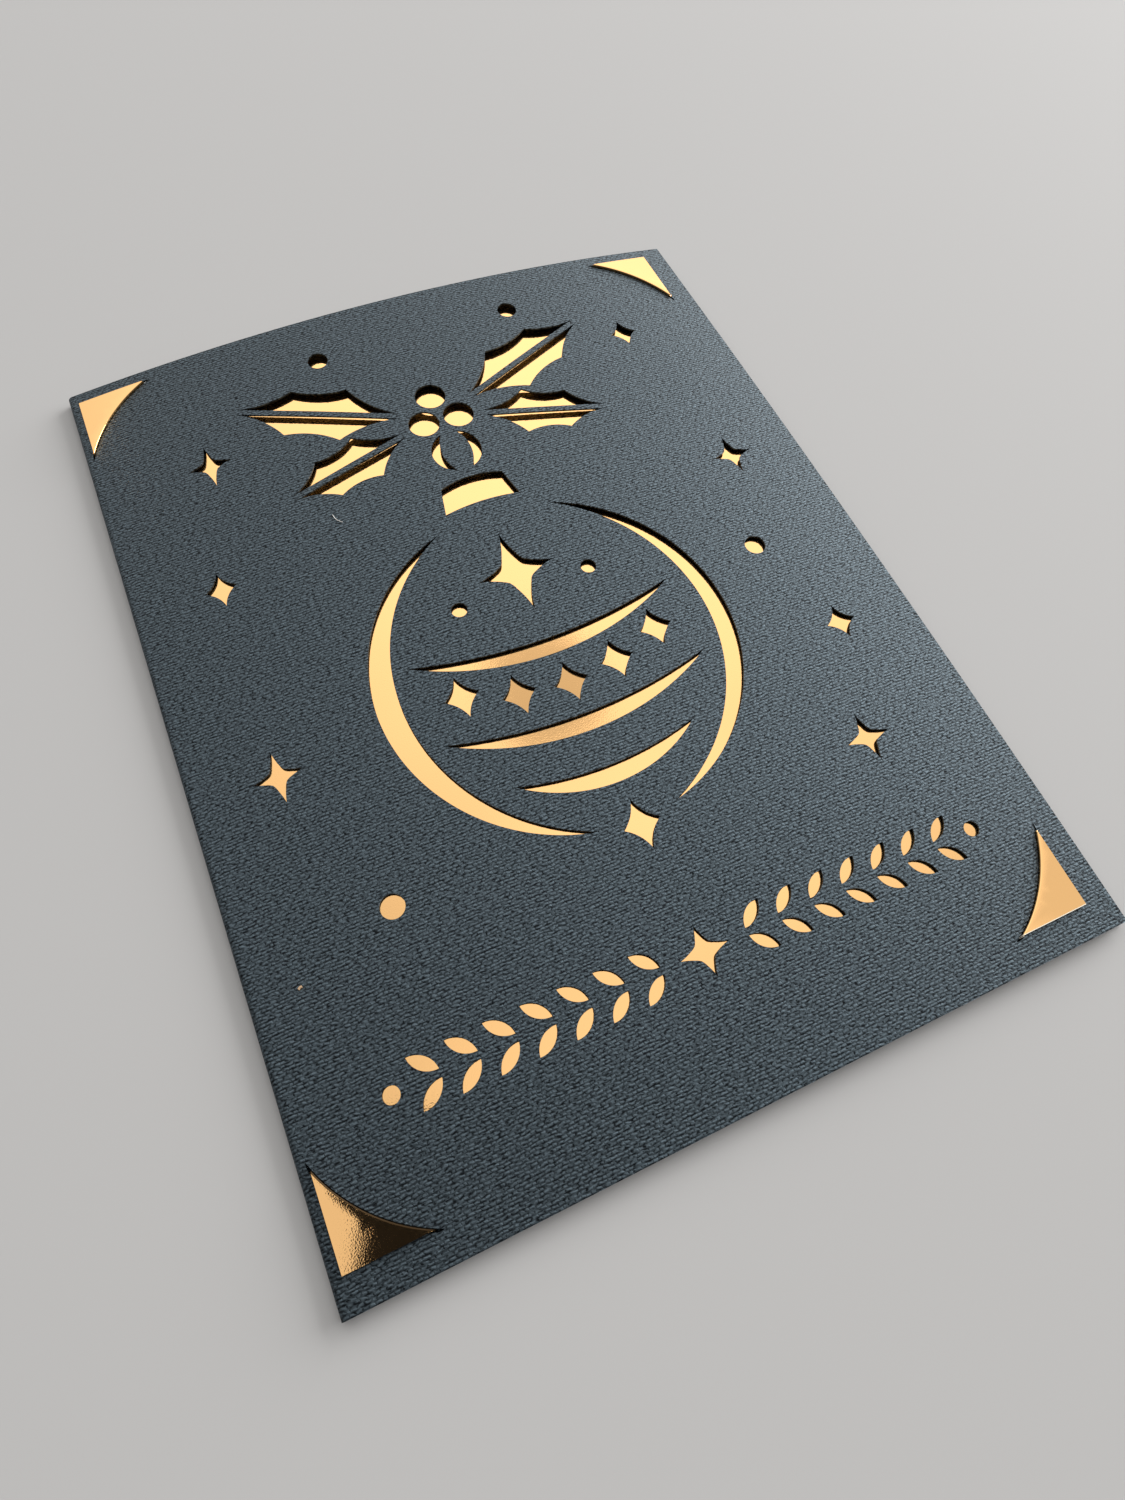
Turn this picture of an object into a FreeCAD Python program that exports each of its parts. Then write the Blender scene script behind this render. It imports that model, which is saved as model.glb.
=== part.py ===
"""Folded greeting card with a foil sheet tucked into its front.

The card lies on its back panel with the front facing up. X runs across the card, away from
the fold, Y up the picture, Z up from the table. The origin is under the middle of the card.
"""
import FreeCAD
import Part
import Sketcher
import math
import os

# Driving sizes in millimetres and degrees, in groups: name, value, what it sets.
SIZES = [
    # The folded sheet
    ("card_width", 107.95, "fold to open edge"),
    ("card_height", 139.7, "bottom edge to top edge"),
    ("card_stock", 0.3, "thickness of the black card"),
    ("fold_height", 1.6, "height over the fold, outside"),
    ("rise_top", 3.5, "bow of the front at the middle of its top edge"),
    ("rise_bottom", 0.15, "bow of the front at the middle of its bottom edge"),
    ("rise_open_edge", 1.0, "bow of the front at the middle of its open edge"),
    ("rise_middle", 1.9, "bow of the front at its centre"),
    # The foil sheet
    ("foil_width", 102.2, "across the foil sheet"),
    ("foil_height", 133.2, "up the foil sheet"),
    ("foil_stock", 0.25, "thickness of the foil sheet"),
    ("foil_shift_x", -1.3, "middle of the foil sheet from the middle of the card"),
    ("foil_shift_y", 0.85, "middle of the foil sheet from the middle of the card"),
    ("gap_corner", 0.12, "space between front and foil at the corners"),
    ("gap_fold_edge", 0.08, "space between front and foil at the middle of the fold"),
    ("gap_open_edge", 0.3, "space between front and foil at the middle of the open edge"),
    ("gap_bottom", 0.2, "space between front and foil at the middle of the bottom"),
    ("gap_top", 0.85, "space between front and foil at the middle of the top"),
    ("gap_middle", 0.42, "space between front and foil at the centre"),
    ("tab_lift", 0.2, "space between the front and a tab that lies on it"),
    # The four corner slits
    ("slit_width", 0.42, "opening of a slit"),
    ("slit_radius", 23.0, "radius of a slit's inner edge"),
    ("slit_centre_x", 21.1, "centre of that arc from the foil's side edge"),
    ("slit_centre_y", 20.6, "centre of that arc from the foil's top or bottom edge"),
    ("slit_overrun", 0.35, "how far a slit runs past the foil's edges"),
    # The hanging ball
    ("ball_y", -5.0, "centre of the ball above the centre of the card"),
    ("ball_radius", 27.0, "outside of the ball's two strokes"),
    ("left_stroke_start_angle", 108.0, "angle of the left stroke's upper tip"),
    ("left_stroke_end_angle", 258.0, "angle of the left stroke's lower tip"),
    ("left_stroke_width", 3.5, "left stroke at its widest"),
    ("right_stroke_start_angle", -78.0, "angle of the right stroke's lower tip"),
    ("right_stroke_end_angle", 70.0, "angle of the right stroke's upper tip"),
    ("right_stroke_width", 3.0, "right stroke at its widest"),
    ("band_width", 2.7, "a band at its widest"),
    ("upper_band_y", 6.0, "tips of the upper band above the ball's centre"),
    ("upper_band_half", 20.8, "half the upper band's length"),
    ("upper_band_sag", 5.6, "how far the upper band hangs"),
    ("lower_band_y", -7.0, "tips of the lower band above the ball's centre"),
    ("lower_band_half", 20.3, "half the lower band's length"),
    ("lower_band_sag", 5.6, "how far the lower band hangs"),
    ("foot_band_y", -16.4, "tips of the foot band above the ball's centre"),
    ("foot_band_half", 13.5, "half the foot band's length"),
    ("foot_band_sag", 4.6, "how far the foot band hangs"),
    ("lozenge_pitch", 7.6, "lozenges between the bands, centre to centre"),
    ("lozenge_y", -4.6, "middle lozenge above the ball's centre"),
    ("lozenge_rise", 3.58, "outermost lozenges above the middle one"),
    ("lozenge_half_width", 2.6, "half a lozenge across"),
    ("lozenge_half_height", 3.3, "half a lozenge up"),
    ("lozenge_hollow", 0.4, "how far a lozenge's sides curve in"),
    ("ball_star_y", 15.4, "centre of the ball's star above the ball's centre"),
    ("ball_star_half_width", 6.2, "half the ball's star across"),
    ("ball_star_half_height", 7.4, "half the ball's star up"),
    ("ball_star_waist", 1.75, "inner corners of the ball's star from its two middle lines"),
    ("ball_star_hollow", 0.3, "how far the star's sides curve in"),
    ("ball_dot_radius", 1.2, "dots beside the ball's star"),
    ("ball_dot_x", 10.4, "dots from the middle"),
    ("ball_dot_y", 12.2, "dots above the ball's centre"),
    ("drop_y", -27.6, "drop under the ball, from the ball's centre"),
    ("drop_half_width", 2.7, "half the drop across"),
    ("drop_half_height", 3.9, "half the drop up"),
    ("drop_hollow", 0.5, "how far the drop's sides curve in"),
    # The cap and its ring
    ("cap_y", 28.6, "underside of the cap above the ball's centre"),
    ("cap_height", 4.8, "up the cap's sides"),
    ("cap_foot_half", 6.1, "half the cap's foot"),
    ("cap_top_half", 5.1, "half the cap's top"),
    ("cap_foot_rise", 0.6, "how far the foot curves up"),
    ("cap_top_rise", 0.9, "how far the top curves up"),
    ("ring_y", 39.8, "centre of the ring above the ball's centre"),
    ("ring_radius", 4.0, "outside of the ring"),
    ("ring_width", 1.6, "ring at its widest"),
    ("ring_tip_angle", 72.0, "tips of a ring half above and below its middle"),
    # The leaves and berries
    ("sprig_y", 43.0, "centre of the sprig above the centre of the card"),
    ("berry_radius", 2.5, "a berry"),
    ("berry_x", 2.95, "lower berries from the middle"),
    ("berry_drop", 1.4, "lower berries under the sprig's centre"),
    ("berry_climb", 3.7, "upper berry over the sprig's centre"),
    ("long_leaf", 26.0, "length of an upper leaf"),
    ("long_leaf_x", 6.2, "foot of an upper leaf from the middle"),
    ("long_leaf_y", 1.6, "foot of an upper leaf over the sprig's centre"),
    ("long_leaf_angle", 24.0, "slope of an upper leaf"),
    ("long_leaf_half", 5.2, "half the upper leaf's width"),
    ("short_leaf", 21.0, "length of a lower leaf"),
    ("short_leaf_x", 6.6, "foot of a lower leaf from the middle"),
    ("short_leaf_y", -2.4, "foot of a lower leaf over the sprig's centre"),
    ("short_leaf_angle", -15.0, "slope of a lower leaf"),
    ("short_leaf_half", 4.6, "half the lower leaf's width"),
    ("vein", 0.95, "card left standing along a leaf's middle"),
    ("scallop", 0.75, "how far a leaf's edge curves in between its points"),
    # The row of leaves under the picture
    ("row_y", -50.8, "middle of the row above the centre of the card"),
    ("row_start", 6.1, "first pair of leaves from the middle"),
    ("row_pitch", 4.9, "pair to pair"),
    ("row_pairs", 7, "pairs of leaves on each side"),
    ("row_leaf", 4.3, "length of a leaf of the row"),
    ("row_leaf_angle", 40.0, "slope of a leaf of the row"),
    ("row_leaf_rise", 0.85, "half the width of a leaf of the row"),
    ("row_split", 0.5, "foot of a leaf from the middle line of the row"),
    ("row_star_half", 3.5, "half the row's star"),
    ("row_star_waist", 1.0, "its inner corners from its two middle lines"),
    ("row_star_hollow", 0.12, "how far its sides curve in"),
    ("row_dot_x", 41.6, "end dots from the middle"),
    ("row_dot_radius", 1.1, "end dots"),
    # What is scattered round the picture
    ("star_half_width", 3.7, "half a small star across"),
    ("star_half_height", 4.1, "half a small star up"),
    ("star_waist", 0.95, "a small star's inner corners from its two middle lines"),
    ("star_hollow", 0.15, "how far a small star's sides curve in"),
    ("star_one_x", -36.5, "first star"),
    ("star_one_y", 46.5, "first star"),
    ("star_two_x", 42.0, "second star"),
    ("star_two_y", 19.0, "second star"),
    ("star_three_x", -42.0, "third star"),
    ("star_three_y", -7.5, "third star"),
    ("star_four_x", 35.5, "fourth star"),
    ("star_four_y", -33.5, "fourth star"),
    ("gem_half_width", 2.4, "half a diamond across"),
    ("gem_half_height", 3.0, "half a diamond up"),
    ("gem_hollow", 0.45, "how far a diamond's sides curve in"),
    ("gem_one_x", 37.0, "first diamond"),
    ("gem_one_y", 50.0, "first diamond"),
    ("gem_two_x", -41.0, "second diamond"),
    ("gem_two_y", 24.0, "second diamond"),
    ("gem_three_x", 42.0, "third diamond"),
    ("gem_three_y", -15.5, "third diamond"),
    ("dot_radius", 1.65, "a dot"),
    ("dot_one_x", -14.5, "first dot"),
    ("dot_one_y", 60.5, "first dot"),
    ("dot_two_x", 19.5, "second dot"),
    ("dot_two_y", 61.0, "second dot"),
    ("dot_three_x", -34.0, "third dot"),
    ("dot_three_y", -30.0, "third dot"),
    ("dot_four_x", 36.5, "fourth dot"),
    ("dot_four_y", 1.5, "fourth dot"),
]

STRAIGHT = None
CORNERS = [(-1, 1), (1, 1), (-1, -1), (1, -1)]

doc = FreeCAD.newDocument("greeting_card")
sheet = doc.addObject("Spreadsheet::Sheet", "sizes")
for row, (alias, value, meaning) in enumerate(SIZES, start=1):
    sheet.set(f"A{row}", str(value))
    sheet.setAlias(f"A{row}", alias)
    sheet.set(f"B{row}", meaning)
doc.recompute()


def value_of(expression):
    """Number that an expression on the sheet gives now."""
    return float(sheet.evalExpression(expression))


def bulging(radius):
    """Side of a loop that curves outwards."""
    return radius, 1


def hollow(radius):
    """Side of a loop that curves inwards."""
    return radius, -1


def arc_radius(chord, rise):
    """Radius of the arc that stands rise high over a chord."""
    return f"(({chord}) ^ 2 / 4 + ({rise}) ^ 2) / (2 * ({rise}))"


def span(width, height):
    """Length of the slanting line that goes width across and height up."""
    return f"sqrt(({width}) ^ 2 + ({height}) ^ 2)"


def origin_plane(body, role):
    """Plane or axis of a body's own origin."""
    return [item for item in body.Origin.OriginFeatures if item.Role == role][0]


def arc_between(start, end, radius, way):
    """Arc under half a turn; way 1 keeps its centre to the left of start to end."""
    middle = (start + end) * 0.5
    along = end - start
    left = FreeCAD.Vector(-along.y, along.x, 0).normalize()
    reach = math.sqrt(max(radius ** 2 - along.Length ** 2 / 4, 0))
    centre = middle + left * reach * way
    first, last = (start, end) if way > 0 else (end, start)
    from_angle = math.atan2(first.y - centre.y, first.x - centre.x)
    to_angle = math.atan2(last.y - centre.y, last.x - centre.x)
    if to_angle < from_angle:
        to_angle += 2 * math.pi
    circle = Part.Circle(centre, FreeCAD.Vector(0, 0, 1), radius)
    return Part.ArcOfCircle(circle, from_angle, to_angle)


def add_loop(sketch, points, sides):
    """Closed outline, counter-clockwise: points are pairs of expressions, one side after each."""
    places = [FreeCAD.Vector(value_of(x), value_of(y), 0) for x, y in points]
    geometry = []
    ends = []
    for index, side in enumerate(sides):
        start = places[index]
        end = places[(index + 1) % len(places)]
        if side is STRAIGHT:
            geometry.append(Part.LineSegment(start, end))
            ends.append((1, 2))
        else:
            radius, way = side
            geometry.append(arc_between(start, end, value_of(radius), way))
            ends.append((1, 2) if way > 0 else (2, 1))
    numbers = sketch.addGeometry(geometry, False)
    constraints = []
    bindings = []
    first = sketch.ConstraintCount
    for index, side in enumerate(sides):
        this, start_end = numbers[index], ends[index]
        following = (index + 1) % len(sides)
        constraints.append(Sketcher.Constraint(
            "Coincident", this, start_end[1], numbers[following], ends[following][0]))
        for kind, place, expression in (("DistanceX", places[index].x, points[index][0]),
                                        ("DistanceY", places[index].y, points[index][1])):
            bindings.append((first + len(constraints), expression))
            constraints.append(Sketcher.Constraint(kind, -1, 1, this, start_end[0], place))
        if side is not STRAIGHT:
            bindings.append((first + len(constraints), side[0]))
            constraints.append(Sketcher.Constraint("Radius", this, value_of(side[0])))
    sketch.addConstraint(constraints)
    for number, expression in bindings:
        sketch.setExpression(f"Constraints[{number}]", expression)


def add_circle(sketch, x, y, radius):
    """Circle whose centre and radius are expressions."""
    centre = FreeCAD.Vector(value_of(x), value_of(y), 0)
    number = sketch.addGeometry(
        Part.Circle(centre, FreeCAD.Vector(0, 0, 1), value_of(radius)), False)
    first = sketch.ConstraintCount
    sketch.addConstraint([
        Sketcher.Constraint("DistanceX", -1, 1, number, 3, centre.x),
        Sketcher.Constraint("DistanceY", -1, 1, number, 3, centre.y),
        Sketcher.Constraint("Radius", number, value_of(radius))])
    for offset, expression in enumerate((x, y, radius)):
        sketch.setExpression(f"Constraints[{first + offset}]", expression)


def add_crescent(sketch, tip_one, tip_two, chord, outer_rise, width):
    """Tapering stroke that bulges to the right of the way from its first tip to its second."""
    inner_rise = f"({outer_rise}) - ({width})"
    add_loop(sketch, [tip_one, tip_two],
             [bulging(arc_radius(chord, outer_rise)), hollow(arc_radius(chord, inner_rise))])


def add_leaf(sketch, tip_one, tip_two, chord, rise):
    """Pointed leaf with both sides curving out."""
    side = bulging(arc_radius(chord, rise))
    add_loop(sketch, [tip_one, tip_two], [side, side])


def add_lozenge(sketch, x, y, half_width, half_height, side_hollow):
    """Four points on the axes with sides that curve in."""
    side = hollow(arc_radius(span(half_width, half_height), side_hollow))
    add_loop(sketch,
             [(f"{x} + {half_width}", y), (x, f"{y} + {half_height}"),
              (f"{x} - {half_width}", y), (x, f"{y} - {half_height}")],
             [side] * 4)


def add_star(sketch, x, y, half_width, half_height, waist, side_hollow):
    """Four slim rays on the axes, each with two sides that curve in."""
    across = hollow(arc_radius(span(f"{half_width} - {waist}", waist), side_hollow))
    upward = hollow(arc_radius(span(f"{half_height} - {waist}", waist), side_hollow))
    points = []
    for right, up in ((1, 1), (-1, 1), (-1, -1), (1, -1)):
        tip = (f"{x} + {right} * {half_width}", y) if right * up > 0 else (
            x, f"{y} + {up} * {half_height}")
        points += [tip, (f"{x} + {right} * {waist}", f"{y} + {up} * {waist}")]
    add_loop(sketch, points, [across, upward, upward, across] * 2)


def in_order(way, points, sides):
    """Turn round a loop that a mirrored place, way -1, would run clockwise."""
    if way > 0:
        return points, sides
    return points[::-1], sides[-2::-1] + sides[-1:]


def outline(name, x="0", y="0", z="0", turn="0"):
    """Level sketch whose place and turn are bound to the sheet."""
    sketch = doc.addObject("Sketcher::SketchObject", f"{name}_outline")
    sketch.Placement.Rotation.Axis = FreeCAD.Vector(0, 0, 1)
    sketch.setExpression("Placement.Base.x", x)
    sketch.setExpression("Placement.Base.y", y)
    sketch.setExpression("Placement.Base.z", z)
    sketch.setExpression("Placement.Rotation.Angle", turn)
    return sketch


def window_outline(name, x="0", y="0", turn="0"):
    """Sketch in the space between the panels, so that its block opens only the front."""
    return outline(name, x, y, "sizes.fold_height / 2", turn)


def upright(sketch):
    """Block that stands on a sketch and reaches past the top of the card."""
    block = doc.addObject("Part::Extrusion", sketch.Name.removesuffix("_outline"))
    block.Base = sketch
    block.DirMode = "Custom"
    block.Dir = FreeCAD.Vector(0, 0, 1)
    block.Solid = True
    block.setExpression("LengthFwd", "sizes.fold_height + 3 * sizes.rise_top")
    return block


def pair_feature(kind, name, base, tool):
    """Boolean of two objects."""
    feature = doc.addObject(kind, name)
    feature.Base = base
    feature.Tool = tool
    return feature


# The bowed sheets

def edge_pole(rise):
    """Control height in the middle of an edge that rises this much there."""
    return 2 * rise


def centre_pole(rise, edge_rises):
    """Control height in the middle of a sheet, from its rise there and on its four edges."""
    return 4 * rise - sum(edge_rises)


def control_heights(corner, fold_edge, open_edge, bottom, top, middle):
    """Three by three control heights, from fold to open edge and from bottom to top."""
    rises = [edge - corner for edge in (fold_edge, open_edge, bottom, top)]
    fold_pole, open_pole, bottom_pole, top_pole = [corner + edge_pole(rise) for rise in rises]
    middle_pole = corner + centre_pole(middle - corner, rises)
    return [[corner, fold_pole, corner],
            [bottom_pole, middle_pole, top_pole],
            [corner, open_pole, corner]]


FRONT_HEIGHTS = control_heights(
    corner=0,
    fold_edge=0,
    open_edge=sheet.rise_open_edge,
    bottom=sheet.rise_bottom,
    top=sheet.rise_top,
    middle=sheet.rise_middle)
GAP_HEIGHTS = control_heights(
    corner=sheet.gap_corner,
    fold_edge=sheet.gap_fold_edge,
    open_edge=sheet.gap_open_edge,
    bottom=sheet.gap_bottom,
    top=sheet.gap_top,
    middle=sheet.gap_middle)
FOIL_HEIGHTS = [[front - gap for front, gap in zip(*rows)]
                for rows in zip(FRONT_HEIGHTS, GAP_HEIGHTS)]


def bowed_sheet(name, heights, level, thickness):
    """Sheet over the front's whole outline whose underside has these heights over a level."""
    left = -sheet.card_width / 2 + sheet.fold_height / 2
    across = sheet.card_width / 2 - left
    surface = Part.BezierSurface()
    surface.increase(2, 2)
    for column, column_heights in enumerate(heights):
        for row, height in enumerate(column_heights):
            x = left + across * column / 2
            y = sheet.card_height * (row - 1) / 2
            surface.setPole(column + 1, row + 1, FreeCAD.Vector(x, y, level + height))
    feature = doc.addObject("Part::Feature", name)
    feature.Shape = surface.toShape().extrude(FreeCAD.Vector(0, 0, thickness))
    return feature


# The folded sheet

def back_and_fold():
    """Back panel and the half-round fold, drawn as one profile and made as long as the card."""
    body = doc.addObject("PartDesign::Body", "back_and_fold")
    profile = body.newObject("Sketcher::SketchObject", "back_profile")
    profile.AttachmentSupport = [(origin_plane(body, "XZ_Plane"), "")]
    profile.MapMode = "FlatFace"
    open_edge = "sizes.card_width / 2"
    outside = "sizes.fold_height / 2"
    inside = f"{outside} - sizes.card_stock"
    bend = f"-{open_edge} + {outside}"
    top = "sizes.fold_height"
    under_top = "sizes.fold_height - sizes.card_stock"
    add_loop(profile,
             [(bend, "sizes.card_stock"), (bend, "0"), (open_edge, "0"),
              (open_edge, "sizes.card_stock")],
             [STRAIGHT, STRAIGHT, STRAIGHT, STRAIGHT])
    panel = body.newObject("PartDesign::Pad", "back_panel")
    panel.Profile = profile
    panel.Midplane = True
    panel.setExpression("Length", "sizes.card_height")
    bend_profile = body.newObject("Sketcher::SketchObject", "bend_profile")
    bend_profile.AttachmentSupport = [(origin_plane(body, "XZ_Plane"), "")]
    bend_profile.MapMode = "FlatFace"
    add_loop(bend_profile,
             [(bend, top), (f"-{open_edge}", outside), (bend, "0"),
              (bend, "sizes.card_stock"), (f"-{open_edge} + sizes.card_stock", outside),
              (bend, under_top)],
             [bulging(outside), bulging(outside), STRAIGHT,
              hollow(inside), hollow(inside), STRAIGHT])
    bend_pad = body.newObject("PartDesign::Pad", "bend")
    bend_pad.Profile = bend_profile
    bend_pad.Midplane = True
    bend_pad.setExpression("Length", "sizes.card_height")
    body.Tip = bend_pad
    return body


def folded_sheet():
    """The whole black sheet before it is cut."""
    front = bowed_sheet("front_panel", FRONT_HEIGHTS,
                        sheet.fold_height - sheet.card_stock, sheet.card_stock)
    whole = doc.addObject("Part::MultiFuse", "folded_sheet")
    whole.Shapes = [back_and_fold(), front]
    return whole


# The corners

def corner_frame(sx, sy):
    """Corner of the foil sheet and centre of its slit, as expressions."""
    corner_x = f"(sizes.foil_shift_x + {sx} * sizes.foil_width / 2)"
    corner_y = f"(sizes.foil_shift_y + {sy} * sizes.foil_height / 2)"
    centre_x = f"({corner_x} - {sx} * sizes.slit_centre_x)"
    centre_y = f"({corner_y} - {sy} * sizes.slit_centre_y)"
    return corner_x, corner_y, centre_x, centre_y


def arc_ends(sx, sy, radius):
    """Where an arc about the slit's centre meets the two lines just outside the foil sheet."""
    corner_x, corner_y, centre_x, centre_y = corner_frame(sx, sy)
    side_reach = "(sizes.slit_centre_x + sizes.slit_overrun)"
    edge_reach = "(sizes.slit_centre_y + sizes.slit_overrun)"
    side_end = (f"{corner_x} + {sx} * sizes.slit_overrun",
                f"{centre_y} + {sy} * sqrt(({radius}) ^ 2 - {side_reach} ^ 2)")
    edge_end = (f"{centre_x} + {sx} * sqrt(({radius}) ^ 2 - {edge_reach} ^ 2)",
                f"{corner_y} + {sy} * sizes.slit_overrun")
    return side_end, edge_end


def add_arc_strip(sketch, sx, sy, inner, outer):
    """Strip between two arcs about a slit's centre."""
    inner_side, inner_edge = arc_ends(sx, sy, inner)
    outer_side, outer_edge = arc_ends(sx, sy, outer)
    points, sides = in_order(
        sx * sy,
        [outer_side, outer_edge, inner_edge, inner_side],
        [bulging(outer), STRAIGHT, hollow(inner), STRAIGHT])
    add_loop(sketch, points, sides)


def add_corner_area(sketch, sx, sy, radius):
    """Corner of the foil sheet outside an arc about its slit's centre."""
    corner_x, corner_y = corner_frame(sx, sy)[:2]
    side_end, edge_end = arc_ends(sx, sy, radius)
    far_corner = (f"{corner_x} + {sx} * sizes.slit_overrun",
                  f"{corner_y} + {sy} * sizes.slit_overrun")
    points, sides = in_order(
        sx * sy, [side_end, far_corner, edge_end], [STRAIGHT, STRAIGHT, hollow(radius)])
    add_loop(sketch, points, sides)


WALL_INNER = "sizes.slit_radius + (sizes.slit_width - sizes.foil_stock) / 2"
WALL_OUTER = "sizes.slit_radius + (sizes.slit_width + sizes.foil_stock) / 2"


# The openings of the front

def slit_blocks():
    """Curved slit across each corner for the foil sheet to come up through."""
    slits = window_outline("corner_slits")
    for sx, sy in CORNERS:
        add_arc_strip(slits, sx, sy, "sizes.slit_radius", "sizes.slit_radius + sizes.slit_width")
    return [upright(slits)]


def add_round_stroke(sketch, radius, width, from_angle, to_angle):
    """Stroke whose outside lies on a circle, from one angle round to the other."""
    tips = [(f"{radius} * cos({angle})", f"{radius} * sin({angle})")
            for angle in (from_angle, to_angle)]
    half_turn = f"(({to_angle}) - ({from_angle})) / 2"
    chord = f"2 * {radius} * sin({half_turn})"
    rise = f"{radius} * (1 - cos({half_turn}))"
    add_crescent(sketch, tips[0], tips[1], chord, rise, width)


def ball_blocks():
    """Ball of two tapering strokes, with bands, lozenges, a star, dots and a drop."""
    strokes = window_outline("ball_strokes", y="sizes.ball_y")
    for side in ("left", "right"):
        add_round_stroke(strokes, "sizes.ball_radius", f"sizes.{side}_stroke_width",
                         f"sizes.{side}_stroke_start_angle",
                         f"sizes.{side}_stroke_end_angle")

    bands = window_outline("ball_bands", y="sizes.ball_y")
    for name in ("upper_band", "lower_band", "foot_band"):
        half = f"sizes.{name}_half"
        height = f"sizes.{name}_y"
        add_crescent(bands, (f"-{half}", height), (half, height),
                     f"2 * {half}", f"sizes.{name}_sag", "sizes.band_width")

    lozenges = window_outline("ball_lozenges", y="sizes.ball_y + sizes.lozenge_y")
    for step in range(-2, 3):
        across = f"({step} * sizes.lozenge_pitch)"
        add_lozenge(lozenges, across, f"sizes.lozenge_rise * ({step} / 2) ^ 2",
                    "sizes.lozenge_half_width", "sizes.lozenge_half_height",
                    "sizes.lozenge_hollow")

    star = window_outline("ball_star", y="sizes.ball_y + sizes.ball_star_y")
    add_star(star, "0", "0", "sizes.ball_star_half_width", "sizes.ball_star_half_height",
             "sizes.ball_star_waist", "sizes.ball_star_hollow")

    drop = window_outline("drop_and_dots", y="sizes.ball_y")
    add_lozenge(drop, "0", "sizes.drop_y", "sizes.drop_half_width",
                "sizes.drop_half_height", "sizes.drop_hollow")
    for side in (-1, 1):
        add_circle(drop, f"{side} * sizes.ball_dot_x", "sizes.ball_dot_y",
                   "sizes.ball_dot_radius")
    return [upright(sketch) for sketch in (strokes, bands, lozenges, star, drop)]


def cap_blocks():
    """Cap on the ball and the two halves of its ring."""
    cap = window_outline("ball_cap", y="sizes.ball_y + sizes.cap_y")
    add_loop(cap,
             [("-sizes.cap_foot_half", "0"), ("sizes.cap_foot_half", "0"),
              ("sizes.cap_top_half", "sizes.cap_height"),
              ("-sizes.cap_top_half", "sizes.cap_height")],
             [hollow(arc_radius("2 * sizes.cap_foot_half", "sizes.cap_foot_rise")), STRAIGHT,
              bulging(arc_radius("2 * sizes.cap_top_half", "sizes.cap_top_rise")), STRAIGHT])

    ring = window_outline("cap_ring", y="sizes.ball_y + sizes.ring_y")
    for middle_angle in (0, 180):
        add_round_stroke(ring, "sizes.ring_radius", "sizes.ring_width",
                         f"{middle_angle} - sizes.ring_tip_angle",
                         f"{middle_angle} + sizes.ring_tip_angle")
    return [upright(cap), upright(ring)]


# Points of a leaf's edge: how far along the leaf, and how far out against its widest
INNER_POINT = 0.34
OUTER_POINT = 0.68
OUTER_POINT_OUT = 0.86


def add_half_leaf(sketch, side, length, half_width):
    """Half of a prickly leaf, over or under the vein."""
    vein = f"{side} * sizes.vein / 2"
    points = [("0", vein), (length, vein),
              (f"{length} * {OUTER_POINT}", f"{side} * {half_width} * {OUTER_POINT_OUT}"),
              (f"{length} * {INNER_POINT}", f"{side} * {half_width}")]
    chords = [span(f"{length} * (1 - {OUTER_POINT})",
                   f"{half_width} * {OUTER_POINT_OUT} - sizes.vein / 2"),
              span(f"{length} * ({OUTER_POINT} - {INNER_POINT})",
                   f"{half_width} * (1 - {OUTER_POINT_OUT})"),
              span(f"{length} * {INNER_POINT}", f"{half_width} - sizes.vein / 2")]
    sides = [STRAIGHT] + [hollow(arc_radius(chord, "sizes.scallop")) for chord in chords]
    points, sides = in_order(side, points, sides)
    add_loop(sketch, points, sides)


def sprig_blocks():
    """Two leaves on each side of three berries."""
    blocks = []
    for name in ("long_leaf", "short_leaf"):
        for side, word, turn in ((1, "right", f"sizes.{name}_angle"),
                                 (-1, "left", f"180 - sizes.{name}_angle")):
            leaf = window_outline(f"{name}_{word}", x=f"{side} * sizes.{name}_x",
                                  y=f"sizes.sprig_y + sizes.{name}_y", turn=turn)
            for half in (1, -1):
                add_half_leaf(leaf, half, f"sizes.{name}", f"sizes.{name}_half")
            blocks.append(upright(leaf))

    berries = window_outline("berries", y="sizes.sprig_y")
    add_circle(berries, "0", "sizes.berry_climb", "sizes.berry_radius")
    for side in (-1, 1):
        add_circle(berries, f"{side} * sizes.berry_x", "-sizes.berry_drop",
                   "sizes.berry_radius")
    return blocks + [upright(berries)]


def row_blocks():
    """Row of leaf pairs that point away from a star in the middle."""
    blocks = []
    tip_x = "sizes.row_leaf * cos(sizes.row_leaf_angle)"
    tip_y = "(sizes.row_split + sizes.row_leaf * sin(sizes.row_leaf_angle))"
    for side, word, turn in ((1, "right", "0"), (-1, "left", "180")):
        for step in range(int(sheet.row_pairs)):
            pair = window_outline(f"row_{word}_{step + 1}", y="sizes.row_y", turn=turn,
                                  x=f"{side} * (sizes.row_start + {step} * sizes.row_pitch)")
            for half in (1, -1):
                add_leaf(pair, ("0", f"{half} * sizes.row_split"), (tip_x, f"{half} * {tip_y}"),
                         "sizes.row_leaf", "sizes.row_leaf_rise")
            blocks.append(upright(pair))

    ends = window_outline("row_star_and_ends", y="sizes.row_y")
    add_star(ends, "0", "0", "sizes.row_star_half", "sizes.row_star_half",
             "sizes.row_star_waist", "sizes.row_star_hollow")
    for side in (-1, 1):
        add_circle(ends, f"{side} * sizes.row_dot_x", "0", "sizes.row_dot_radius")
    return blocks + [upright(ends)]


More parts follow.
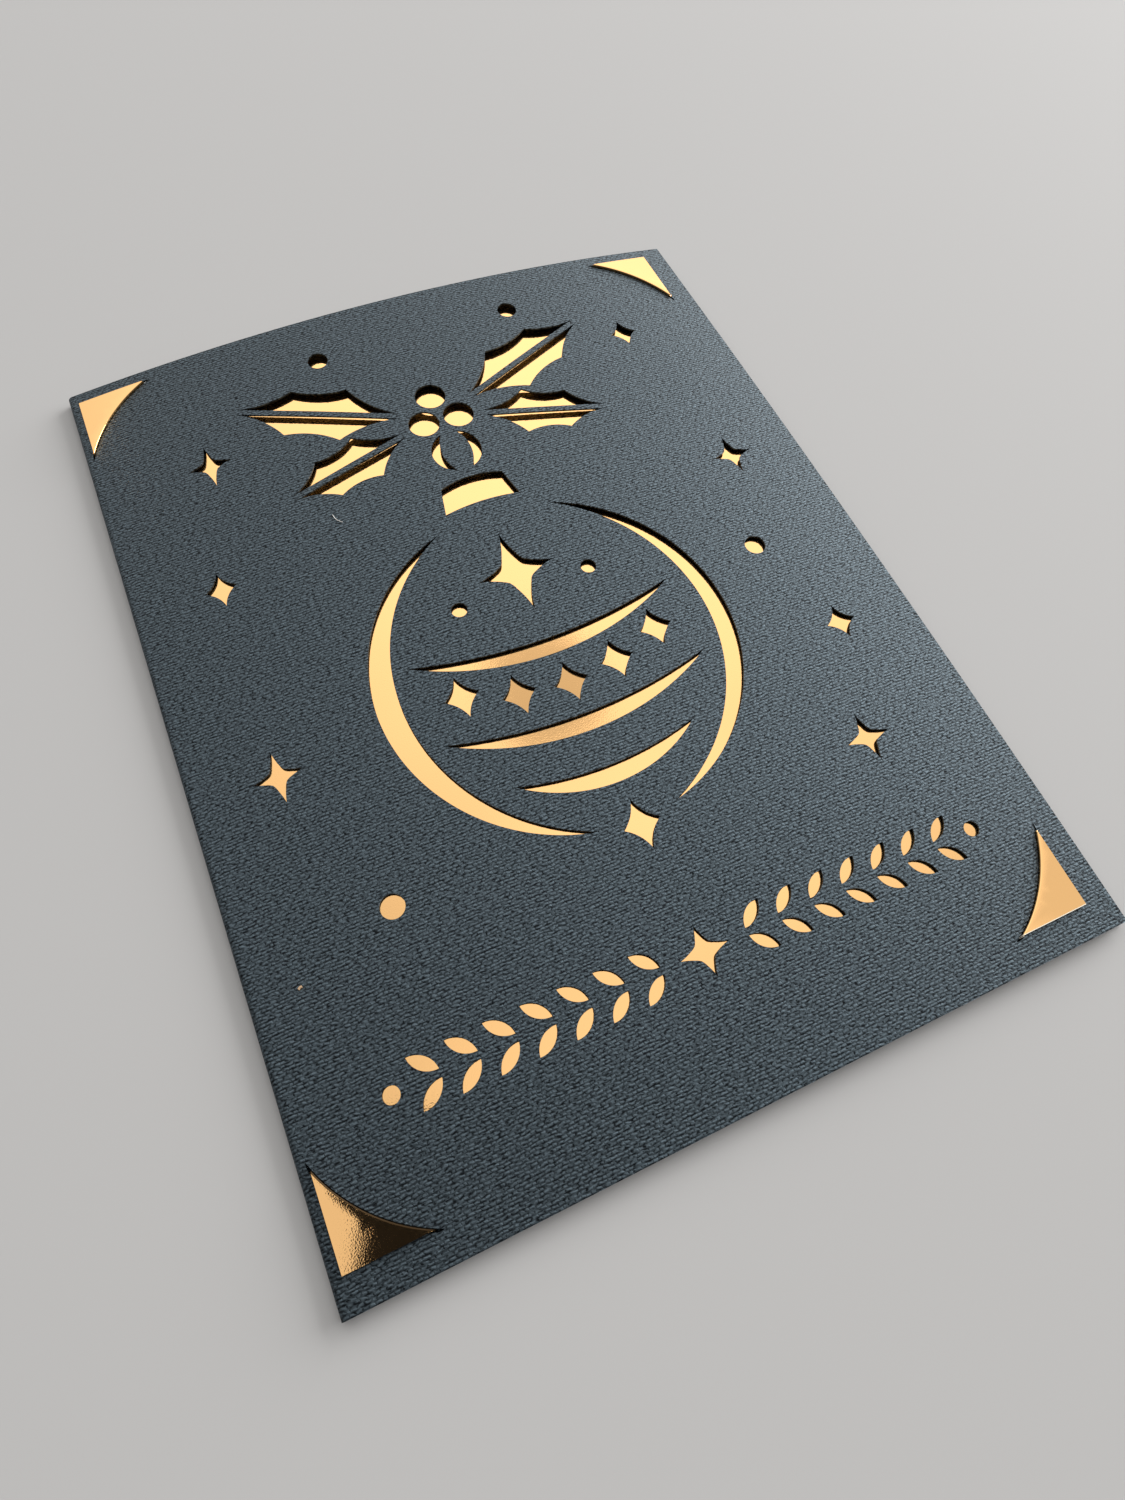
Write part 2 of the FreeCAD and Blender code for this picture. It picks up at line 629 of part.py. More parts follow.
def scatter_blocks():
    """Small stars, diamonds and dots round the picture."""
    blocks = []
    numbers = ("one", "two", "three", "four")
    for number in numbers:
        star = window_outline(f"star_{number}", f"sizes.star_{number}_x",
                              f"sizes.star_{number}_y")
        add_star(star, "0", "0", "sizes.star_half_width", "sizes.star_half_height",
                 "sizes.star_waist", "sizes.star_hollow")
        blocks.append(upright(star))

    gems = window_outline("small_diamonds")
    for number in numbers[:3]:
        add_lozenge(gems, f"sizes.gem_{number}_x", f"sizes.gem_{number}_y",
                    "sizes.gem_half_width", "sizes.gem_half_height", "sizes.gem_hollow")

    dots = window_outline("small_dots")
    for number in numbers:
        add_circle(dots, f"sizes.dot_{number}_x", f"sizes.dot_{number}_y", "sizes.dot_radius")
    return blocks + [upright(gems), upright(dots)]


def make_card():
    """The black folded card with every opening in its front."""
    openings = doc.addObject("Part::Compound", "openings")
    openings.Links = (slit_blocks() + ball_blocks() + cap_blocks() + sprig_blocks()
                      + row_blocks() + scatter_blocks())
    return pair_feature("Part::Cut", "card_blank", folded_sheet(), openings)


# The foil sheet

def foil_rectangle():
    """Block over the outline of the foil sheet."""
    sketch = outline("foil_area")
    left = "sizes.foil_shift_x - sizes.foil_width / 2"
    right = "sizes.foil_shift_x + sizes.foil_width / 2"
    bottom = "sizes.foil_shift_y - sizes.foil_height / 2"
    top = "sizes.foil_shift_y + sizes.foil_height / 2"
    add_loop(sketch, [(left, bottom), (right, bottom), (right, top), (left, top)],
             [STRAIGHT] * 4)
    return upright(sketch)


def corner_areas(name, radius):
    """Blocks over the four corners outside an arc."""
    sketch = outline(name)
    for sx, sy in CORNERS:
        add_corner_area(sketch, sx, sy, radius)
    return upright(sketch)


def wall_strips():
    """Blocks in which the foil sheet stands up through the slits."""
    sketch = outline("wall_areas")
    for sx, sy in CORNERS:
        add_arc_strip(sketch, sx, sy, WALL_INNER, WALL_OUTER)
    return upright(sketch)


def make_foil():
    """The foil sheet: it lies under the front and turns up through the slits onto it."""
    front_top = sheet.fold_height
    front_underside = sheet.fold_height - sheet.card_stock
    tab_level = front_top + sheet.tab_lift
    tall = 3 * sheet.rise_top

    main = bowed_sheet("foil_under_front", FOIL_HEIGHTS,
                       front_underside - sheet.foil_stock, sheet.foil_stock)
    over = bowed_sheet("foil_over_front", FRONT_HEIGHTS, tab_level, sheet.foil_stock)
    column = bowed_sheet("wall_column", FOIL_HEIGHTS,
                         front_underside - sheet.foil_stock / 2, tall)
    above = bowed_sheet("above_tabs", FRONT_HEIGHTS, tab_level + sheet.foil_stock / 2, tall)

    main_area = pair_feature("Part::Cut", "foil_main", main,
                             corner_areas("beyond_walls", WALL_OUTER))
    tabs = pair_feature("Part::Common", "foil_tabs", over,
                        corner_areas("tab_areas", WALL_INNER))
    wall_blocks = pair_feature("Part::Common", "wall_blocks", column,
                               wall_strips())
    walls = pair_feature("Part::Cut", "foil_walls", wall_blocks, above)
    joined = doc.addObject("Part::MultiFuse", "foil_joined")
    joined.Shapes = [main_area, tabs, walls]
    return pair_feature("Part::Common", "foil_insert", joined, foil_rectangle())


def check_document():
    """Stop if any object failed, because a failed one is not reported otherwise."""
    for item in doc.Objects:
        if "Invalid" in item.State or "Error" in item.State:
            raise RuntimeError(f"{item.Name} failed: {item.State}")


def main():
    pieces = [make_card(), make_foil()]
    doc.recompute()
    check_document()
    for piece in pieces:
        shape = piece.Shape
        if shape.isNull() or not shape.isValid() or len(shape.Solids) != 1:
            raise RuntimeError(f"{piece.Label} is not one valid solid")
    os.makedirs("parts", exist_ok=True)
    for piece in pieces:
        piece.Shape.exportStep(f"parts/{piece.Label}.step")
        box = piece.Shape.BoundBox
        print(piece.Label, "volume", round(piece.Shape.Volume, 2), "box", box)


main()
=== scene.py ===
"""Folded black card whose cut-out front shows the sheet of gold foil tucked into it.

Sizes are in millimetres and MM turns them to metres. X runs from the fold to the open edge,
Y up the front, Z up from the table.
"""
import bmesh
import bpy
import math
from mathutils import Euler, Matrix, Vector
from mathutils.geometry import delaunay_2d_cdt
from mathutils.kdtree import KDTree


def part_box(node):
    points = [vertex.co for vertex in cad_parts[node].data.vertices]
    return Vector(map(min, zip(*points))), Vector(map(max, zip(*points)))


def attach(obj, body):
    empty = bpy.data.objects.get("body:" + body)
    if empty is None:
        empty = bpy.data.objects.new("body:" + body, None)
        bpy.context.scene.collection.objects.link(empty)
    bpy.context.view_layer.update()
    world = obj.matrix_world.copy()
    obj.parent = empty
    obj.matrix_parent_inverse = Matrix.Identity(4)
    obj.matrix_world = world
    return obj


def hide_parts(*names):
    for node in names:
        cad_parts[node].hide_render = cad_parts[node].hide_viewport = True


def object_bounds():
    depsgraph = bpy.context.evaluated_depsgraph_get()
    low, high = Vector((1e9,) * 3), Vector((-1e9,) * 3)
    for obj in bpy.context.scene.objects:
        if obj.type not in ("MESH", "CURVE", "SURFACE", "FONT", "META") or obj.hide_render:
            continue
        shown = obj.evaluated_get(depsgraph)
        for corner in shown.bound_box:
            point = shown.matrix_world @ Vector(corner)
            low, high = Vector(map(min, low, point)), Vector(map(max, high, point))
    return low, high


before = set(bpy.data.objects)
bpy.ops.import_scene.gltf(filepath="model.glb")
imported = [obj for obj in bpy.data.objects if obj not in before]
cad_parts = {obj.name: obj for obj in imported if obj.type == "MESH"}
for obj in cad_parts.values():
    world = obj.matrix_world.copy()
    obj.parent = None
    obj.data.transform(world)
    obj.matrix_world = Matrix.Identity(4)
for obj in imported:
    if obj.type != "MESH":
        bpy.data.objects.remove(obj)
cad_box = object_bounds()

MM = 0.001

# The folded sheet
CARD_STOCK = 0.3
FOLD_HEIGHT = 1.6
RISE_OPEN_EDGE = 1.0
RISE_BOTTOM = 0.15
RISE_TOP = 3.5
RISE_MIDDLE = 1.9

# The foil sheet and the space between it and the front
FOIL_STOCK = 0.25
FOIL_WIDTH = 102.2
FOIL_HEIGHT = 133.2
FOIL_SHIFT = Vector((-1.3, 0.85))
GAP_CORNER = 0.12
GAP_FOLD_EDGE = 0.08
GAP_OPEN_EDGE = 0.3
GAP_BOTTOM = 0.2
GAP_TOP = 0.85
GAP_MIDDLE = 0.42
TAB_LIFT = 0.2

# The slits
SLIT_RADIUS = 23.0
SLIT_WIDTH = 0.42
SLIT_CENTRE = Vector((21.1, 20.6))
LOWER_BEND = 0.08
UPPER_BEND = 0.17
BEND_STEPS = 5

# Foil of the lower left corner that leans more than this is creased and painted dark as shade, and
# the strip is a white band along the right half of the foil's lower edge
CREASE_SHADE_SLOPE = 0.99
WHITE_STRIP = 0.09

# How finely the sheets are meshed
OUTLINE_STEP = 0.4
SHEET_STEP = 1.5
FOLD_STEPS = 16
RING_STEPS = 48
CLEAR_SHARE = 0.4
CORNER_TURN = math.radians(40)
SMOOTH_TURN = math.radians(50)
CUT_TOLERANCE = 1e-5
WELD_DISTANCE = 0.001
UPWARD = 0.5

# Material places on a sheet: its top, its underside, its cut edge and its creases, which are
# painted dark as shade
TOP_FACE, UNDER_FACE, EDGE_FACE, CREASE_SHADE_FACE = range(4)

HALF_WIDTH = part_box("card_blank")[1].x / MM
HALF_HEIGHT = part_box("card_blank")[1].y / MM
FOLD_RADIUS = FOLD_HEIGHT / 2
FRONT_LEFT = -HALF_WIDTH + FOLD_RADIUS
FRONT_WIDTH = HALF_WIDTH - FRONT_LEFT
FOLD_LENGTH = math.pi * FOLD_RADIUS


# Heights of the bowed sheets

def control_heights(corner, fold_edge, open_edge, bottom, top, middle):
    """Three by three control heights from the heights at a sheet's corners, edges and middle."""
    rises = [edge - corner for edge in (fold_edge, open_edge, bottom, top)]
    fold_pole, open_pole, bottom_pole, top_pole = [corner + 2 * rise for rise in rises]
    middle_pole = corner + 4 * (middle - corner) - sum(rises)
    return [[corner, fold_pole, corner],
            [bottom_pole, middle_pole, top_pole],
            [corner, open_pole, corner]]


FRONT_HEIGHTS = control_heights(0, 0, RISE_OPEN_EDGE, RISE_BOTTOM, RISE_TOP, RISE_MIDDLE)
GAP_HEIGHTS = control_heights(GAP_CORNER, GAP_FOLD_EDGE, GAP_OPEN_EDGE, GAP_BOTTOM, GAP_TOP,
                              GAP_MIDDLE)


def bow(heights, x, y):
    """Height over a place of the front, from a net of control heights."""
    def along(three, share):
        start, middle, end = three
        rest = 1 - share
        return rest * rest * start + 2 * rest * share * middle + share * share * end

    across = (x - FRONT_LEFT) / FRONT_WIDTH
    up = (y + HALF_HEIGHT) / (2 * HALF_HEIGHT)
    return along([along(column, up) for column in heights], across)


def front_top(x, y):
    """Height of the front's outside."""
    return FOLD_HEIGHT + bow(FRONT_HEIGHTS, x, y)


def foil_top(x, y):
    """Height of the foil where it lies under the front."""
    return front_top(x, y) - CARD_STOCK - bow(GAP_HEIGHTS, x, y)


def tab_top(x, y):
    """Height of the foil where it lies over the front."""
    return front_top(x, y) + TAB_LIFT + FOIL_STOCK


# Outlines

def front_openings():
    """Outline of each opening of the CAD front, flat, as points in order."""
    cad = bmesh.new()
    cad.from_mesh(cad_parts["card_blank"].data)
    bmesh.ops.remove_doubles(cad, verts=cad.verts, dist=WELD_DISTANCE * MM)
    lowest = (FOLD_HEIGHT - CARD_STOCK / 2) * MM
    outside = {face for face in cad.faces
               if face.normal.z > UPWARD and face.calc_center_median().z > lowest
               and face.calc_center_median().x > FRONT_LEFT * MM}
    neighbours = {}
    for edge in cad.edges:
        if len(outside.intersection(edge.link_faces)) == 1:
            for vert in edge.verts:
                neighbours.setdefault(vert, []).append(edge.other_vert(vert))
    loops = []
    while neighbours:
        vert = next(iter(neighbours))
        loop = []
        while vert is not None:
            loop.append(vert.co.xy / MM)
            ahead = neighbours.pop(vert)
            vert = next((other for other in ahead if other in neighbours), None)
        loops.append(loop)
    cad.free()
    loops.sort(key=lambda loop: max(point.x for point in loop) - min(point.x for point in loop))
    return loops[:-1]


def turn_at(before, here, after):
    """Angle by which an outline turns at a point."""
    return (here - before).angle(after - here, 0.0)


def rounded(loop):
    """Outline with its arcs filled in between the CAD mesh's points, and its corners kept."""
    count = len(loop)
    corner = [turn_at(loop[i - 1], loop[i], loop[(i + 1) % count]) > CORNER_TURN
              for i in range(count)]
    points = []
    for i in range(count):
        start, end = loop[i], loop[(i + 1) % count]
        chord = end - start
        slant_in = 0 if corner[i] else bend_of(loop[i - 1], start, end)
        slant_out = 0 if corner[(i + 1) % count] else bend_of(
            start, end, loop[(i + 2) % count])
        slants = [slant for slant in (slant_in, slant_out) if slant]
        slant = sum(slants) / len(slants) if slants else 0
        steps = max(1, math.ceil(chord.length / OUTLINE_STEP))
        side = Vector((chord.y, -chord.x))
        for step in range(steps):
            share = step / steps
            points.append(start + chord * share + side * (slant * share * (1 - share)))
    return points


def bend_of(before, here, after):
    """Slope at a smooth point against the chord that leaves it, for an arc through all three."""
    first, second = here - before, after - here
    turn = math.atan2(first.x * second.y - first.y * second.x, first.dot(second))
    return turn * second.length / (first.length + second.length)


# Meshes

def ring_points(centre, quadrant, radius):
    """Arc about a slit's centre, from the foil's side edge round to its top or bottom edge."""
    first = math.acos(SLIT_CENTRE.x / radius)
    last = math.asin(SLIT_CENTRE.y / radius)
    points = []
    for step in range(RING_STEPS + 1):
        angle = first + (last - first) * step / RING_STEPS
        points.append(centre + Vector((quadrant.x * radius * math.cos(angle),
                                       quadrant.y * radius * math.sin(angle))))
    return points


def flat_triangles(low, high, openings, lines, step):
    """Even triangles over a rectangle, cut along the lines and left out in the openings."""
    points = [Vector(low), Vector((high[0], low[1])), Vector(high), Vector((low[0], high[1]))]
    edges = [(0, 1), (1, 2), (2, 3), (3, 0)]
    faces = []
    for loop in openings:
        first = len(points)
        points += loop
        faces.append(list(range(first, first + len(loop))))
    for line in lines:
        first = len(points)
        points += line
        edges += [(first + i, first + i + 1) for i in range(len(line) - 1)]
    drawn = KDTree(len(points))
    for index, point in enumerate(points):
        drawn.insert(point.to_3d(), index)
    drawn.balance()
    columns = round((high[0] - low[0]) / step)
    rows = round((high[1] - low[1]) / step)
    for column in range(columns + 1):
        for row in range(rows + 1):
            point = Vector((low[0] + (high[0] - low[0]) * column / columns,
                            low[1] + (high[1] - low[1]) * row / rows))
            if drawn.find(point.to_3d())[2] > CLEAR_SHARE * step:
                points.append(point)
    result = delaunay_2d_cdt(points, edges, faces, 0, CUT_TOLERANCE)
    flat, triangles, covering = result[0], result[2], result[5]
    return flat, [face for face, inside in zip(triangles, covering) if not inside]


def counter_clockwise(loop):
    """Loop in the order that keeps its inside on the left."""
    area = sum(a.x * b.y - a.y * b.x for a, b in zip(loop, loop[1:] + loop[:1]))
    return loop if area > 0 else loop[::-1]


def add_object(name, data):
    """New object of the scene, the only one selected and the active one."""
    added = bpy.data.objects.new(name, data)
    bpy.context.scene.collection.objects.link(added)
    bpy.ops.object.select_all(action="DESELECT")
    added.select_set(True)
    bpy.context.view_layer.objects.active = added
    return added


def sheet_object(name, flat, triangles, place, stock):
    """Sheet of one thickness from flat triangles: place gives each flat point its real place."""
    used = sorted({index for face in triangles for index in face})
    number = {index: i for i, index in enumerate(used)}
    mesh = bpy.data.meshes.new(name)
    mesh.from_pydata([place(flat[index]) * MM for index in used], [],
                     [[number[index] for index in face] for face in triangles])
    uv = mesh.uv_layers.new(name="flat_sheet")
    for corner in mesh.loops:
        uv.data[corner.index].uv = flat[used[corner.vertex_index]] * MM
    piece = add_object(name, mesh)
    thick = piece.modifiers.new("thickness", "SOLIDIFY")
    thick.thickness = stock * MM
    thick.offset = -1
    thick.use_even_offset = True
    thick.material_offset = UNDER_FACE
    thick.material_offset_rim = EDGE_FACE
    bpy.ops.object.modifier_apply(modifier=thick.name)
    for vert in mesh.vertices:
        vert.co = [min(max(value, low), high) for value, low, high in zip(vert.co, *cad_box)]
    bpy.ops.object.shade_smooth_by_angle(angle=SMOOTH_TURN)
    return piece


# The black card

def folded_place(point):
    """Place of a point of the unfolded sheet: front, then fold, then back."""
    beyond = FRONT_LEFT - point.x
    if beyond <= 0:
        return Vector((point.x, point.y, front_top(point.x, point.y)))
    if beyond < FOLD_LENGTH:
        angle = beyond / FOLD_RADIUS
        return Vector((FRONT_LEFT - FOLD_RADIUS * math.sin(angle), point.y,
                       FOLD_RADIUS * (1 + math.cos(angle))))
    return Vector((FRONT_LEFT + beyond - FOLD_LENGTH, point.y, 0))


def make_card():
    """The cut and folded black sheet."""
    openings = [counter_clockwise(rounded(loop)) for loop in front_openings()]
    folds = []
    for step in range(FOLD_STEPS + 1):
        x = FRONT_LEFT - FOLD_LENGTH * step / FOLD_STEPS
        folds.append([Vector((x, -HALF_HEIGHT)), Vector((x, HALF_HEIGHT))])
    far = FRONT_LEFT - FOLD_LENGTH - FRONT_WIDTH
    flat, triangles = flat_triangles((far, -HALF_HEIGHT), (HALF_WIDTH, HALF_HEIGHT),
                                     openings, folds, SHEET_STEP)
    card = sheet_object("black_card", flat, triangles, folded_place, CARD_STOCK)
    black = black_linen_card()
    for _ in range(3):
        card.data.materials.append(black)
    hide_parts("card_blank")
    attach(card, "root")


# The foil sheet

def bend_rings():
    """Radius, climb from the sheet and drop from the tab of each ring of the bend."""
    wall = SLIT_RADIUS + (SLIT_WIDTH - FOIL_STOCK) / 2
    rings = []
    for step in range(BEND_STEPS + 1):
        angle = math.pi / 2 * step / BEND_STEPS
        rings.append((wall - LOWER_BEND * (1 - math.sin(angle)),
                      LOWER_BEND * (1 - math.cos(angle)), None))
    for step in range(BEND_STEPS + 1):
        angle = math.pi / 2 * step / BEND_STEPS
        rings.append((wall + UPPER_BEND * (1 - math.cos(angle)),
                      None, UPPER_BEND * (1 - math.sin(angle))))
    return rings


BEND_RINGS = bend_rings()
FIRST_RING = BEND_RINGS[0][0]
LAST_RING = BEND_RINGS[-1][0]
RING_GAP = (LAST_RING - FIRST_RING) / (len(BEND_RINGS) - 1)


def slit_centres():
    """Centre of each slit, with the way to its corner of the foil."""
    for sx, sy in ((-1, 1), (1, 1), (-1, -1), (1, -1)):
        quadrant = Vector((sx, sy))
        corner = FOIL_SHIFT + quadrant * Vector((FOIL_WIDTH, FOIL_HEIGHT)) / 2
        yield corner - quadrant * SLIT_CENTRE, quadrant


def foil_place(point):
    """Place of a point of the flat foil: under the front, up through a slit, or over the front."""
    for centre, quadrant in slit_centres():
        out = point - centre
        if out.x * quadrant.x < 0 or out.y * quadrant.y < 0:
            continue
        ring = (out.length - FIRST_RING) / RING_GAP
        if ring > len(BEND_RINGS) - 0.5:
            return Vector((point.x, point.y, tab_top(point.x, point.y)))
        if ring > 0.5:
            radius, climb, drop = BEND_RINGS[round(ring)]
            here = centre + out.normalized() * radius
            level = (tab_top(*here) - drop) if climb is None else (foil_top(*here) + climb)
            return Vector((here.x, here.y, level))
    return Vector((point.x, point.y, foil_top(point.x, point.y)))


def make_foil():
    """The foil sheet with its corners through the slits."""
    lines = []
    for centre, quadrant in slit_centres():
        for number in range(len(BEND_RINGS)):
            lines.append(ring_points(centre, quadrant, FIRST_RING + number * RING_GAP))
    half = Vector((FOIL_WIDTH, FOIL_HEIGHT)) / 2
    low, high = FOIL_SHIFT - half, FOIL_SHIFT + half
    lines.append([Vector((low.x, low.y + WHITE_STRIP)), Vector((high.x, low.y + WHITE_STRIP))])
    flat, triangles = flat_triangles(low, high, [], lines, SHEET_STEP)
    foil = sheet_object("gold_foil", flat, triangles, foil_place, FOIL_STOCK)
    for material in (gold_foil(), white_board(), white_cut_edge_and_strip(), creased_painted_shade_foil()):
        foil.data.materials.append(material)
    white_strip_edge = (FOIL_SHIFT.y - half.y + WHITE_STRIP) * MM
    for face in foil.data.polygons:
        if face.material_index != TOP_FACE:
            continue
        # A white strip on the top face, along the right half of the foil's lower edge.
        if face.center.y < white_strip_edge and face.center.x > 0:
            face.material_index = EDGE_FACE
        # Painted shade: the steep foil of the lower left corner's bend gets the dark creased
        # material.
        elif face.normal.z < CREASE_SHADE_SLOPE and max(face.center.x, face.center.y) < 0:
            face.material_index = CREASE_SHADE_FACE
    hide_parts("foil_insert")
    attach(foil, "root")


# Materials

def linear(code):
    """Linear colour of an sRGB hex code."""
    parts = [int(code[i:i + 2], 16) / 255 for i in (1, 3, 5)]
    return [c / 12.92 if c <= 0.04045 else ((c + 0.055) / 1.055) ** 2.4 for c in parts] + [1]


def new_material(name):
    """Material with its node tree and its shader."""
    material = bpy.data.materials.new(name)
    material.use_nodes = True
    return material.node_tree, material.node_tree.nodes["Principled BSDF"], material


def add_node(tree, kind, settings=None, **links):
    """Node with its settings: each link's key is an input's name or number after an i."""
    node = tree.nodes.new(kind)
    for name, value in (settings or {}).items():
        if hasattr(node, name):
            setattr(node, name, value)
        else:
            node.inputs[name].default_value = value
    for name, source in links.items():
        key = int(name[1:]) if name[1:].isdigit() else name
        tree.links.new(source, node.inputs[key])
    return node


def plain_material(name, code, roughness, metallic=0.0):
    """Material of one colour and one roughness."""
    tree, shader, material = new_material(name)
    shader.inputs["Base Color"].default_value = linear(code)
    shader.inputs["Metallic"].default_value = metallic
    shader.inputs["Roughness"].default_value = roughness
    return material


def black_linen_card():
    """Black card, dyed through, rolled with a linen emboss.

    The eye goes by the rows of short uneven ridges that catch the window. They are drawn 0.44 mm
    apart, which is finer than the real ones: those are 0.66 mm apart. The noises that make them
    uneven have cells of about 1.1 and 0.7 mm. Shade and sheen are painted too: the base colour is
    darker in the furrows and lighter on the ridges, and so is the specular level.
    """
    tree, shader, material = new_material("black_linen_card")
    thread_row, thread_length = 0.44, 0.75
    drift_scale, drift = 900.0, (1.6 * MM, 0.55 * MM, 0)
    ridge_scale, ridge_squash = 1500.0, 2.4
    furrow_depth, emboss_depth = 0.3, 0.09
    coordinates = add_node(tree, "ShaderNodeTexCoord").outputs["UV"]
    wander = add_node(tree, "ShaderNodeTexNoise", {"Scale": drift_scale, "Detail": 3.0},
                      Vector=coordinates)
    shift = add_node(tree, "ShaderNodeVectorMath", {"operation": "MULTIPLY_ADD"},
                     i0=wander.outputs["Color"], i2=coordinates)
    shift.inputs[1].default_value = drift
    threads = add_node(tree, "ShaderNodeTexBrick",
                       {"offset": 0.5, "Scale": 1 / MM, "Brick Width": thread_length,
                        "Row Height": thread_row, "Mortar Size": thread_row / 2,
                        "Mortar Smooth": 1.0},
                       Vector=shift.outputs["Vector"])
    along = add_node(tree, "ShaderNodeMapping", {"Scale": (1, ridge_squash, 1)},
                     Vector=coordinates)
    ridges = add_node(tree, "ShaderNodeTexNoise", {"Scale": ridge_scale, "Detail": 3.0},
                      Vector=along.outputs["Vector"])
    height = add_node(tree, "ShaderNodeMath", {"operation": "MULTIPLY_ADD"},
                      i0=threads.outputs["Fac"], i2=ridges.outputs["Fac"])
    height.inputs[1].default_value = -furrow_depth
    bump = add_node(tree, "ShaderNodeBump", {"Strength": 1.0, "Distance": emboss_depth * MM},
                    Height=height.outputs["Value"])
    tree.links.new(bump.outputs["Normal"], shader.inputs["Normal"])
    # Painted shade: the base colour is darker in the furrows and lighter on the ridges.
    painted_groove_shade = add_node(tree, "ShaderNodeValToRGB", Fac=height.outputs["Value"])
    low, high = painted_groove_shade.color_ramp.elements
    low.position, high.position = 0.15, 0.6
    low.color = linear("#0b0c0e")
    high.color = linear("#171b1f")
    tree.links.new(painted_groove_shade.outputs["Color"], shader.inputs["Base Color"])
    # Painted shade and sheen: the specular level is low in the furrows and high on the ridges.
    painted_sheen_and_groove_shade = add_node(tree, "ShaderNodeMapRange",
                     {"From Min": 0.1, "From Max": 0.6, "To Min": 0.12, "To Max": 2.15},
                     Value=height.outputs["Value"])
    tree.links.new(painted_sheen_and_groove_shade.outputs["Result"], shader.inputs["Specular IOR Level"])
    shader.inputs["Specular Tint"].default_value = linear("#d6f0ff")
    shader.inputs["Roughness"].default_value = 0.6
    return material


def gold_foil():
    """Metallised film on board: nearly a mirror, with the fine grain of the board under it.

    Its own colour is a peach gold: where it mirrors the window, red is full and it turns yellow.
    Its slow waves are about 14 mm long and the grain is of 0.2 mm.
    """
    tree, shader, material = new_material("gold_foil")
    wave_scale, wave_depth = 70.0, 0.08
    grain_scale, grain_depth = 5000.0, 0.0045
    coordinates = add_node(tree, "ShaderNodeTexCoord").outputs["UV"]
    waves = add_node(tree, "ShaderNodeTexNoise", {"Scale": wave_scale, "Detail": 0.0},
                     Vector=coordinates)
    waviness = add_node(tree, "ShaderNodeBump", {"Strength": 1.0, "Distance": wave_depth * MM},
                        Height=waves.outputs["Fac"])
    grain = add_node(tree, "ShaderNodeTexNoise", {"Scale": grain_scale, "Detail": 1.0},
                     Vector=coordinates)
    bump = add_node(tree, "ShaderNodeBump", {"Strength": 1.0, "Distance": grain_depth * MM},
                    Height=grain.outputs["Fac"], Normal=waviness.outputs["Normal"])
    tree.links.new(bump.outputs["Normal"], shader.inputs["Normal"])
    shader.inputs["Base Color"].default_value = linear("#fbc786")
    shader.inputs["Metallic"].default_value = 1.0
    shader.inputs["Roughness"].default_value = 0.05
    return material


def creased_painted_shade_foil():
    """The film where it is creased over the edge of a slit: crazed and duller, and painted dark
    brown as shade along the slit.
    """
    return plain_material("creased_painted_shade_foil", "#3d2f1f", 0.45, metallic=1.0)


def white_board():
    """Uncoated white board, the foil's underside."""
    return plain_material("white_board", "#e9e7e2", 0.8)


def white_cut_edge_and_strip():
    """Cut edge of the foil's board, and the white strip along the foil's lower right edge."""
    return plain_material("white_cut_edge_and_strip", "#f3ead8", 0.8)


# Dust: name, place, degrees from +X, length, width and colour. Each bends by a share of its
# length and has its middle line a share of its width over the front.

DUST = (("lint_fibre", -21.5, 29.2, 118, 2.1, 0.1, "#e8e6e0"),
        ("dust_speck", -47.5, -35.0, 20, 0.5, 0.36, "#b99a78"))
DUST_BEND = 0.12
DUST_LIFT = 0.4


def make_dust():
    """The fibre and the speck that lie on the front."""
    for name, x, y, turn, length, width, code in DUST:
        bend = DUST_BEND * length
        curve = bpy.data.curves.new(name, "CURVE")
        curve.dimensions = "3D"
        curve.bevel_depth = width / 2 * MM
        curve.bevel_resolution = 2
        curve.use_fill_caps = True
        line = curve.splines.new("BEZIER")
        line.bezier_points.add(2)
        along = Vector((math.cos(math.radians(turn)), math.sin(math.radians(turn))))
        for point, share, aside in zip(line.bezier_points, (-0.5, 0, 0.5), (0, bend, 0)):
            here = Vector((x, y)) + along * (share * length) + along.orthogonal() * aside
            point.co = Vector((here.x, here.y, front_top(*here) + width * DUST_LIFT)) * MM
            point.handle_left_type = point.handle_right_type = "AUTO"
        add_object(name, curve)
        bpy.ops.object.convert(target="MESH")
        bpy.ops.object.shade_smooth()
        dust = bpy.context.object
        dust.data.materials.append(plain_material(name, code, 0.7))
        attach(dust, "root")


# The stage

CAMERA_PLACE = Vector((-31.1, -60.3, 110.5))
CAMERA_TURN = Euler([math.radians(angle) for angle in (24.16, -3.41, -24.14)])
LENS = 20.68
CLIP_START = 1

# The floor's size and the window's size and distance are in metres, its power in watts. Ways are
# azimuth and elevation in degrees.
FLOOR_SIZE = 6
FLOOR_DROP = 0.02
WINDOW_SIZE = (1.77, 1.0)
WINDOW_DISTANCE = 2
WINDOW_POWER = 58
WINDOW_WAY = (73, 18)
ROOM_BRIGHT_WAY = (30, 36)

# The dark plate's size, and how far its middle is down, right and above from the camera
PLATE_SIZE = (79, 150)
PLATE_DOWN = 73
PLATE_RIGHT = 6.5
PLATE_ABOVE = 3


def towards(azimuth, elevation):
    """Way to a place in the room: azimuth from +Y towards +X, elevation from the table."""
    azimuth, elevation = math.radians(azimuth), math.radians(elevation)
    return Vector((math.sin(azimuth) * math.cos(elevation),
                   math.cos(azimuth) * math.cos(elevation), math.sin(elevation)))


